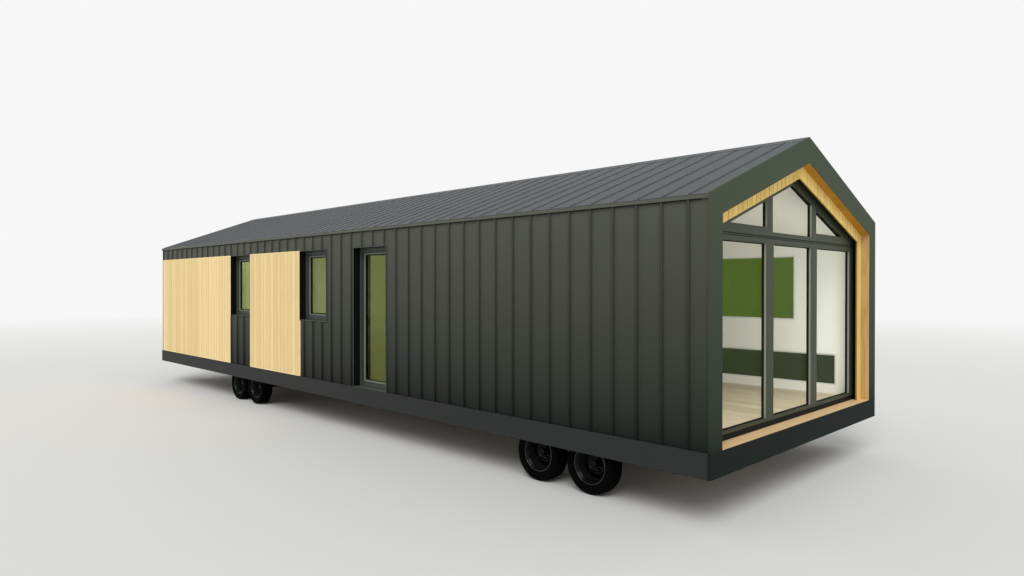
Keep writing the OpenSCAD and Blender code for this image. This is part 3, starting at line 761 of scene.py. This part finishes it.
def shadow_gaps():
    """Black strips of painted shade in the gap between the walls and the edges of the roof."""
    bm = bmesh.new()
    for side in (-1, 1):
        ys = sorted((side * (SIDE_Y - 1 * MM), side * (SIDE_Y - 30 * MM)))
        box(bm, (-GABLE_X + 10 * MM, ys[0], WALL_TOP + 0.5 * MM),
            (PORTAL_BACK_X, ys[1], WALL_TOP + 9.5 * MM))
    piece("eave_shadow_gap", bm, SEAL, "house")


# Boards

def timber_panels():
    """Upright boards of the two pale panels, with a thin trim all round."""
    low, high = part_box("timber_panels")
    boards = Boards(11)
    trim, rail, trim_tone = 20 * MM, 14 * MM, 1.7
    for (x0, x1), count in zip(PANELS, (14, 28)):
        for edge in (x0, x1 - trim):
            boards.add(
                (edge, low.y, low.z), (edge + trim, high.y, high.z), Z, (Y, -1), 1 * MM,
                tone=trim_tone)
        for z0, z1 in ((low.z, low.z + rail), (high.z - rail, high.z)):
            boards.add(
                (x0 + trim, low.y, z0), (x1 - trim, high.y, z1), X, (Y, -1), 1 * MM,
                tone=trim_tone)
        pitch = (x1 - x0 - 2 * trim) / count
        for i in range(count):
            x = x0 + trim + i * pitch
            boards.add(
                (x, low.y + 1.5 * MM, low.z + rail), (x + pitch, high.y, high.z - rail),
                Z, (Y, -1), 4 * MM, joint=3.8)
    piece("pale_panel_boards", boards.all, PALE_TIMBER, "house", ["timber_panels"])


def gable_boards():
    """Upright larch boards round the glazing, cut along both roof slopes."""
    low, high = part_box("gable_boards")
    half = high.y
    boards = Boards(23)
    up = Vector((0, SLOPE, 1)).normalized()
    down = -Vector((0, (BAND_TOP - BAND_EAVE) / BAND_HALF, 1)).normalized()
    for side in (-1, 1):
        outer = ((0, 0, high.z), Vector((0, side * up.y, up.z)))
        inner = ((0, 0, BAND_TOP), Vector((0, side * down.y, down.z)))
        for i in range(math.ceil(half / BAND_PITCH)):
            y0, y1 = i * BAND_PITCH, min((i + 1) * BAND_PITCH, half)
            spans = [(y0, min(y1, BAND_HALF), True), (max(y0, BAND_HALF), y1, False)]
            for a, b, over in spans:
                if b - a < 1e-4:
                    continue
                ys = sorted((side * a, side * b))
                boards.add(
                    (low.x, ys[0], low.z), (high.x, ys[1], high.z), Z, (X, 1), 5 * MM,
                    [outer, inner] if over else [outer], joint=3.0)
    piece("gable_larch_boards", boards.all, LARCH_BAND, "house", ["gable_boards"])


def portal_lining():
    """Larch boards on the sill, jambs and soffits of the portal."""
    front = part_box("portal_lining")[1].x
    sill, jambs, soffit = Boards(31), Boards(32), Boards(33)
    slope = (PORTAL_TOP - PORTAL_EAVE) / PORTAL_HALF
    lift = LARCH_T * math.hypot(1, slope)
    sill_low = BASE_Z - LARCH_T
    sill.add(
        (BOARDS_X, -PORTAL_HALF, sill_low), (front, PORTAL_HALF, BASE_Z), Y, (Z, 1), 1 * MM,
        tone=0.9)
    sill.add(
        (SCREEN_X, -BAND_HALF, sill_low), (BOARDS_X, BAND_HALF, BASE_Z), Y, (Z, 1), 1 * MM,
        tone=0.8)
    rows, spare = 21, 0.1  # the soffit's boards are cut to both slopes
    step = PORTAL_HALF / rows
    for side in (-1, 1):
        ys = sorted((side * BAND_HALF, side * RETURN_HALF))
        sill.add((SCREEN_X, ys[0], sill_low), (WALL_X, ys[1], BASE_Z), X, (Z, 1), 0.0, tone=0.7)
        ys = sorted((side * PORTAL_HALF, side * (PORTAL_HALF + LARCH_T)))
        up = Vector((0, side * slope, 1)).normalized()
        outer = ((0, 0, PORTAL_TOP + lift), up)
        inner = ((0, 0, PORTAL_TOP), -up)
        jambs.add(
            (BOARDS_X, ys[0], sill_low), (front, ys[1], PORTAL_TOP), Z, (Y, -side), 0.0,
            [outer], tone=0.5)
        for i in range(rows):
            ys = sorted((side * i * step, side * (i + 1) * step))
            soffit.add(
                (BOARDS_X, ys[0], PORTAL_EAVE - spare), (front, ys[1], PORTAL_TOP + spare), X,
                (Z, -1), 0.0, [outer, inner])
    for name, boards, finish in (
            ("portal_sill", sill, LARCH_SILL), ("portal_jambs", jambs, LARCH),
            ("portal_soffit", soffit, LARCH_SOFFIT)):
        piece(name, boards.all, finish, "house", ["portal_lining"])


def oak_floor():
    """Floor planks laid along the house, each row started at its own place."""
    low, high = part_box("oak_floor")
    boards = Boards(47)
    rows, length, most_off = 22, 2.2, 1.6
    width = (high.y - low.y) / rows
    for row in range(rows):
        y = low.y + row * width
        x = low.x - boards.draw.uniform(0, most_off)
        while x < high.x:
            far = x + length
            x0, x1 = max(x, low.x), min(far, high.x)
            if x1 > x0:
                boards.add((x0, y, low.z), (x1, y + width, high.z), X, (Z, 1), 0.8 * MM)
            x = far
    piece("oak_floor_planks", boards.all, OAK, "house", ["oak_floor"])


# Glazing

def pane_seals(node, axis, width, body):
    """Dark seals round the edges of double glazing, as deep as the panes."""
    bm = copy_of(node)
    rear = [v for v in bm.verts if axis == Y and v.co.y > 0]
    bmesh.ops.delete(bm, geom=rear, context="VERTS")
    sides = [f for f in bm.faces if abs(f.normal[axis]) > 0.99]
    bmesh.ops.inset_individual(bm, faces=sides, thickness=width, use_even_offset=True)
    inner = [f for f in sides if f.is_valid]
    bmesh.ops.delete(bm, geom=inner, context="FACES_ONLY")
    open_edges = [e for e in bm.edges if len(e.link_faces) == 1]
    islands = {}
    for e in open_edges:
        middle = (e.verts[0].co + e.verts[1].co) / 2
        key = tuple(round(middle[a], 3) for a in range(3) if a != axis)
        islands.setdefault(key, []).append(e)
    for pair in islands.values():
        if len(pair) == 2:
            bmesh.ops.contextual_create(
                bm, geom=list({v for e in pair for v in e.verts}))
    bmesh.ops.recalc_face_normals(bm, faces=bm.faces)
    piece(f"{node}_seals", bm, SEAL, body)


def side_panes():
    """The panes of the front windows, and the greener ones of the rear windows."""
    between = (REAR_LOW[3] + REAR_HIGH[2]) / 2
    for name, finish, kept in (
            ("front_panes", SIDE_GLASS, lambda co: co.y < 0),
            ("rear_high_pane", REAR_GLASS, lambda co: co.y > 0 and co.z > between),
            ("rear_low_pane", LOW_REAR_GLASS, lambda co: co.y > 0 and co.z < between)):
        bm = copy_of("window_glass")
        others = [v for v in bm.verts if not kept(v.co)]
        bmesh.ops.delete(bm, geom=others, context="VERTS")
        made = piece(name, bm, finish, "house", ["window_glass"])
        two_tone(made, OUTER_GLASS, lambda centre, normal: normal.y > 0.5 and centre.y > 0)


def glazing_beads():
    """Beads in a light finish on the upright edges of the gable's panes, as painted light on
    their reveals, black strips in the grooves of its transom, as painted shade, and one along its
    foot.
    """
    panes = copy_of("screen_glass")
    bm = bmesh.new()
    for pane in [f for f in panes.faces if f.normal.x > 0.99]:
        middle = pane.calc_center_median()
        for edge in pane.edges:
            a, b = sorted((v.co for v in edge.verts), key=lambda co: co.z)
            if b.z - a.z > 0.1 and abs(b.y - a.y) < 1e-4:
                ys = sorted((a.y, a.y + (3 * MM if middle.y > a.y else -3 * MM)))
                box(bm, (a.x, ys[0], a.z), (SCREEN_X - 3 * MM, ys[1], b.z))
    panes.free()
    piece("gable_glazing_beads", bm, BEAD_LIGHT_METAL, "house")
    bm = bmesh.new()
    half = BAND_HALF + 40 * MM  # behind the band's edge
    # Black strips in the transom's grooves, as painted shade
    for z in JOINT_ZS:
        box(bm, (SCREEN_X - 6 * MM, -half, z), (SCREEN_X - 1 * MM, half, z + 7 * MM))
    box(bm, (SCREEN_X - 1 * MM, -half, BASE_Z), (SCREEN_X + 1.5 * MM, half, BASE_Z + 60 * MM))
    piece("transom_joints", bm, SEAL, "house")


def flat_ring(bm, outline, widths, y0, y1):
    """Nested rings inside an outline of low x, high x, low z, high z, from y0 to y1."""
    x0, x1, z0, z1 = outline
    corners = [bm.verts.new((x, y0, z)) for x, z in ((x0, z0), (x1, z0), (x1, z1), (x0, z1))]
    middle = bmesh.ops.contextual_create(bm, geom=corners)["faces"][0]
    for width in widths:
        bmesh.ops.inset_individual(bm, faces=[middle], thickness=width, use_even_offset=True)
    bmesh.ops.delete(bm, geom=[middle], context="FACES_ONLY")
    made = bmesh.ops.extrude_face_region(bm, geom=bm.faces[:])
    moved = [g for g in made["geom"] if isinstance(g, bmesh.types.BMVert)]
    bmesh.ops.translate(bm, verts=moved, vec=(0, y1 - y0, 0))
    bmesh.ops.recalc_face_normals(bm, faces=bm.faces)


def inset(opening, amount):
    """An opening made smaller by an amount on all sides."""
    x0, x1, z0, z1 = opening
    return (x0 + amount, x1 - amount, z0 + amount, z1 - amount)


def borders():
    """Beads on the set-back borders of the sashes and the leaf, painted light as lit, with
    gaskets at the panes.
    """
    edge, half = FRAME_W + BEAD_W, BORDER_W / 2
    for name, opening, body in (
            ("window_a_bead", WINDOW_A, "house"), ("window_b_bead", WINDOW_B, "house"),
            ("door_bead", DOOR, "door")):
        bm = bmesh.new()
        flat_ring(
            bm, inset(opening, edge), (half, half + 2 * MM), GLASS_Y - 2 * MM,
            GLASS_Y + 0.5 * MM)
        x0, x1, z0, z1 = inset(opening, edge + half)
        two_tone(
            piece(name, bm, GASKET, body), SASH_LIGHT_METAL,
            lambda centre, normal: not (x0 <= centre.x <= x1 and z0 <= centre.z <= z1))


def swept(bm, stations):
    """A closed rod through stations of (centre, along, wide, deep)."""
    previous = None
    for centre, along, wide, deep in stations:
        turn = Vector(along).to_track_quat("Z", "X").to_matrix().to_4x4()
        place = Matrix.Translation(centre) @ turn @ Matrix.Diagonal((deep, wide, 1, 1))
        ring = bmesh.ops.create_circle(bm, segments=16, radius=1.0, matrix=place)["verts"]
        edges = list({e for v in ring for e in v.link_edges if all(w in ring for w in e.verts)})
        if previous:
            bmesh.ops.bridge_loops(bm, edges=previous + edges)
        previous = edges
    bmesh.ops.holes_fill(bm, edges=[e for e in bm.edges if len(e.link_faces) == 1])
    bmesh.ops.recalc_face_normals(bm, faces=bm.faces)


def lever(x, z, face):
    """A rounded plate with a neck and a lever that hangs down, on an inner face."""
    bm = bmesh.new()
    wide, tall, thick = PLATE
    box(bm, (x - wide, face, z - tall), (x + wide, face + thick, z + tall))
    corners = [e for e in bm.edges if abs((e.verts[0].co - e.verts[1].co).y) > 1e-4]
    soften(bm, corners, 6 * MM, 4)
    front = [e for e in bm.edges if all(abs(v.co.y - face - thick) < 1e-6 for v in e.verts)]
    soften(bm, front, 1.5 * MM)
    stations = [
        ((x, face + 0.004, z), (0, 1, 0), 0.0085, 0.0085),
        ((x, face + 0.026, z), (0, 1, 0), 0.008, 0.008),
        ((x, face + 0.034, z - 0.003), (0, 1, -0.5), 0.009, 0.009),
        ((x, face + 0.0385, z - 0.012), (0, 0.3, -1), 0.0095, 0.0075),
        ((x, face + 0.0385, z - 0.050), (0, 0, -1), 0.0095, 0.006),
        ((x, face + 0.0370, z - 0.090), (0, -0.05, -1), 0.009, 0.0055),
        ((x, face + 0.0360, z - 0.114), (0, 0, -1), 0.008, 0.005),
        ((x, face + 0.0360, z - 0.119), (0, 0, -1), 0.005, 0.003)]
    swept(bm, stations)
    return bm


def handles():
    """The levers of the front windows and of the door, on the room side."""
    middle_a, middle_b = (sum(opening[2:]) / 2 for opening in (WINDOW_A, WINDOW_B))
    for name, x, z, node, body in (
            ("window_a_lever", WINDOW_A[0] + 0.083, middle_a, "window_handles", "house"),
            ("window_b_lever", WINDOW_B[0] + 0.083, middle_b, "window_handles", "house"),
            ("door_lever", DOOR[0] + 0.081, DOOR_LEVER_Z, "door_handle", "door")):
        made = piece(name, lever(x, z, SASH_BACK), HANDLE, body, [node], smooth=True)
        sharpen(made, 35)


# Wheels

def turned(points, steps):
    """A closed ring turned round Z from a closed outline of (radius, height) points."""
    bm = bmesh.new()
    verts = [bm.verts.new((r, 0, z)) for r, z in points]
    edges = [bm.edges.new((verts[i], verts[(i + 1) % len(verts)])) for i in range(len(verts))]
    bmesh.ops.spin(
        bm, geom=verts + edges, cent=(0, 0, 0), axis=(0, 0, 1), angle=2 * math.pi, steps=steps,
        use_merge=True, use_duplicate=False)
    bmesh.ops.remove_doubles(bm, verts=bm.verts, dist=1e-6)
    bmesh.ops.recalc_face_normals(bm, faces=bm.faces)
    return bm


WHEELS = [
    (f"{row[0]}{i + 1}", f"wheel_{row}_{i + 1}", x, side)
    for row, side in (("front", -1), ("back", 1)) for i, x in enumerate(AXLE_XS)]


def stand_wheel(bm, x, side):
    """Puts a wheel drawn round Z, outer side up, at its place on the house."""
    turn = Matrix.Rotation(math.radians(90 if side < 0 else -90), 4, "X")
    bm.transform(Matrix.Translation((x, side * WHEEL_Y, TYRE_R)) @ turn)


def tyre_shape():
    """Half of a tyre from its middle, mirrored: tread grooves, shoulder, ribbed side wall."""
    tread = [(0.0, 316.5), (12, 316.5), (13, 309.5), (20, 309.5), (21, 316.5),
             (46, 316.0), (47, 309.0), (54, 309.0), (55, 315.5), (76, 314.0)]
    side = [(90, 306), (99, 296), (102.5, 283), (102.5, 268), (101, 266), (101, 262),
            (102, 260), (100, 244), (96, 230), (96, 226), (92, 224), (88, 214), (84, 208),
            (70, 207.2)]
    outline = [(r * MM, z * MM) for z, r in tread + side]
    return outline + [(r, -z) for r, z in reversed(outline) if z > 0]


def cut_tread(bm, steps, every):
    """Cross grooves in the shoulders of the tread, at one of every few steps."""
    for vert in bm.verts:
        radius = math.hypot(vert.co.x, vert.co.y)
        if radius < SHOULDER_R or abs(vert.co.z) < SHOULDER_Z:
            continue
        turn = round(math.atan2(vert.co.y, vert.co.x) / (2 * math.pi) * steps) % every
        if turn == 0:
            share = (radius - GROOVE_DEPTH) / radius
            vert.co.x *= share
            vert.co.y *= share


def rim_shape():
    """A rim's outline: hub cap, set-back disc, deep barrel and both edges."""
    outline = [
        (0.0, 18), (0.030, 17), (0.037, 14), (0.040, 8), (0.040, -38), (0.082, -38),
        (0.090, -33), (0.098, -25), (0.104, -24), (0.118, -24), (0.124, -26), (0.134, -36),
        (0.150, -48), (0.166, -55), (0.172, -55), (0.1735, -50), (0.1735, 50), (0.177, 56),
        (0.186, 62), (0.196, 68), (0.2005, 78), (0.203, 82), (0.207, 82), (0.207, 74),
        (0.203, 70), (0.190, 60), (0.181, 52), (0.181, -52), (0.207, -74), (0.207, -82),
        (0.198, -80), (0.1735, -60), (0.166, -67), (0.146, -60), (0.120, -38), (0.100, -38),
        (0.084, -52), (0.062, -52), (0.062, -92), (0.0255, -92), (0.0255, -50), (0.0, -50)]
    return [(r, z * MM) for r, z in outline]


def wheel_nuts(bm):
    """Six-sided nuts in a circle on the disc of a rim."""
    for i in range(NUTS):
        angle = 2 * math.pi * i / NUTS
        spot = (NUT_CIRCLE * math.cos(angle), NUT_CIRCLE * math.sin(angle), -0.030)
        bmesh.ops.create_cone(
            bm, cap_ends=True, segments=6, radius1=0.0105, radius2=0.0085, depth=0.018,
            matrix=Matrix.Translation(spot))


def in_barrel(centre, normal, x):
    """Whether a face is on the inner side of a rim's barrel."""
    radius = math.hypot(centre.x - x, centre.z - TYRE_R)
    inward = (centre.x - x) * normal.x + (centre.z - TYRE_R) * normal.z < 0
    return 0.170 < radius < 0.175 and inward and abs(normal.y) < 0.3


def wheels():
    """Eight wheels: a tyre, a rim with its nuts, and the rim's rolled edge, painted light as a
    highlight.
    """
    tyre_steps, rim_steps = 192, 96
    tyre_outline, rim_outline = tyre_shape(), rim_shape()
    edge_outline = [(0.2010, 0.0800), (0.2025, 0.0835), (0.2060, 0.0835), (0.2072, 0.0800)]
    for name, body, x, side in WHEELS:
        bm = turned(tyre_outline, tyre_steps)
        cut_tread(bm, tyre_steps, 4)
        stand_wheel(bm, x, side)
        made = piece(f"tyre_dressed_{name}", bm, TYRE, body, [f"tyre_{name}"], smooth=True)
        sharpen(made, 30)
        bm = turned(rim_outline, rim_steps)
        wheel_nuts(bm)
        stand_wheel(bm, x, side)
        made = piece(f"rim_dressed_{name}", bm, RIM, body, [f"rim_{name}"], smooth=True)
        sharpen(made, 35)
        # The barrel's inner wall is painted lighter, as painted reflection
        two_tone(made, RIM_BARREL_REFLECTION, lambda centre, normal: in_barrel(centre, normal, x))
        bm = turned(edge_outline, rim_steps)
        stand_wheel(bm, x, side)
        piece(f"rim_edge_painted_highlight_{name}", bm, RIM_EDGE_HIGHLIGHT, body, smooth=True)


metal_skin()
shadow_gaps()
timber_panels()
gable_boards()
portal_lining()
oak_floor()
pane_seals("screen_glass", X, 7 * MM, "house")
glazing_beads()
side_panes()
pane_seals("window_glass", Y, 6 * MM, "house")
pane_seals("door_glass", Y, 6 * MM, "door")
borders()
handles()
wheels()


# Stage, light and camera

def stage():
    """A pale floor that fades into the background."""
    bm = bmesh.new()
    bmesh.ops.create_circle(bm, cap_ends=True, segments=96, radius=60)
    mesh = bpy.data.meshes.new("floor")
    bm.to_mesh(mesh)
    bm.free()
    floor = bpy.data.objects.new("floor", mesh)
    bpy.context.scene.collection.objects.link(floor)
    finish = Finish("pale_floor", None, tint(226, 226, 224), roughness=0.9)
    x, y, _ = finish.axes(finish.place())
    fade_from, fade_over = 14.0, 30.0
    fade = (((x * x + y * y) ** 0.5 - fade_from) / fade_over).held()
    clear = finish.node("ShaderNodeBsdfTransparent")
    faded = finish.node(
        "ShaderNodeMixShader", {}, [fade, Wire(finish, finish.shader.outputs[0]), clear])
    finish.fill(finish.output.inputs["Surface"], faded)
    mesh.materials.append(finish.material)


def surroundings():
    """White light from all round, and a pale background wherever it is seen or mirrored."""
    world = bpy.data.worlds.new("studio")
    bpy.context.scene.world = world
    world.use_nodes = True
    tree = world.node_tree
    tree.nodes.clear()
    backgrounds = []
    for grey, strength in ((1.0, 0.62), (0.93, 1.0)):
        background = tree.nodes.new("ShaderNodeBackground")
        background.inputs["Color"].default_value = (grey, grey, grey, 1)
        background.inputs["Strength"].default_value = strength
        backgrounds.append(background)
    path = tree.nodes.new("ShaderNodeLightPath")
    seen = path.outputs["Is Camera Ray"]
    for name in ("Is Glossy Ray", "Is Transmission Ray"):
        larger = tree.nodes.new("ShaderNodeMath")
        larger.operation = "MAXIMUM"
        tree.links.new(seen, larger.inputs[0])
        tree.links.new(path.outputs[name], larger.inputs[1])
        seen = larger.outputs[0]
    mix = tree.nodes.new("ShaderNodeMixShader")
    tree.links.new(seen, mix.inputs[0])
    for socket, background in zip(mix.inputs[1:], backgrounds):
        tree.links.new(background.outputs[0], socket)
    end = tree.nodes.new("ShaderNodeOutputWorld")
    tree.links.new(mix.outputs[0], end.inputs["Surface"])


def lamp(name, kind, turn, spot=(0, 0, 0), **settings):
    """A lamp with its settings."""
    light = bpy.data.lights.new(name, kind)
    for key, value in settings.items():
        setattr(light, key, value)
    made = bpy.data.objects.new(name, light)
    bpy.context.scene.collection.objects.link(made)
    made.location = spot
    made.rotation_euler = turn
    return made


def lights():
    """A soft sun, two lamps at the far end of the room, and daylight from its gable."""
    ahead = Vector((-0.42, 0.66, -0.80)).to_track_quat("-Z", "Y").to_euler()
    lamp("soft_sun", "SUN", ahead, energy=1.5, angle=math.radians(35))
    for name, spot, turn, wide, deep, energy, colour in (
            ("room_light", (-4.4, 0, 3.25), (0, 0, 0), 4.4, 1.2, 30.0, (0.92, 1.0, 0.96)),
            ("room_bounce", (-4.4, 0, 0.95), (math.pi, 0, 0), 4.4, 1.2, 19.0,
             (0.76, 0.88, 0.92)),
            ("gable_daylight", (6.74, 0, 1.87), (0, math.pi / 2, 0), 2.1, 3.8, 34.0,
             (0.97, 1.0, 0.95))):
        made = lamp(
            name, "AREA", turn, spot, shape="RECTANGLE", size=wide, size_y=deep, energy=energy,
            color=colour)
        made.visible_camera = False
        made.visible_glossy = False
        made.visible_transmission = False


def camera():
    """A nearly level camera at the photo's angle, its focal length given in pixels."""
    focal_px, picture_px = 692.77, 1024
    data = bpy.data.cameras.new("camera")
    data.sensor_width = 36
    data.lens = focal_px * 36 / picture_px
    data.clip_end = 200
    made = bpy.data.objects.new("camera", data)
    bpy.context.scene.collection.objects.link(made)
    yaw, pitch, roll = (math.radians(angle) for angle in (134.934, -0.282, 0.044))
    ahead = Vector((
        math.cos(yaw) * math.cos(pitch), math.sin(yaw) * math.cos(pitch), math.sin(pitch)))
    made.rotation_mode = "QUATERNION"
    made.rotation_quaternion = (
        ahead.to_track_quat("-Z", "Y") @ Matrix.Rotation(roll, 3, "Z").to_quaternion())
    made.location = (10.124, -7.850, 2.248)
    bpy.context.scene.camera = made


stage()
surroundings()
lights()
camera()
bpy.context.scene.view_settings.view_transform = "Standard"
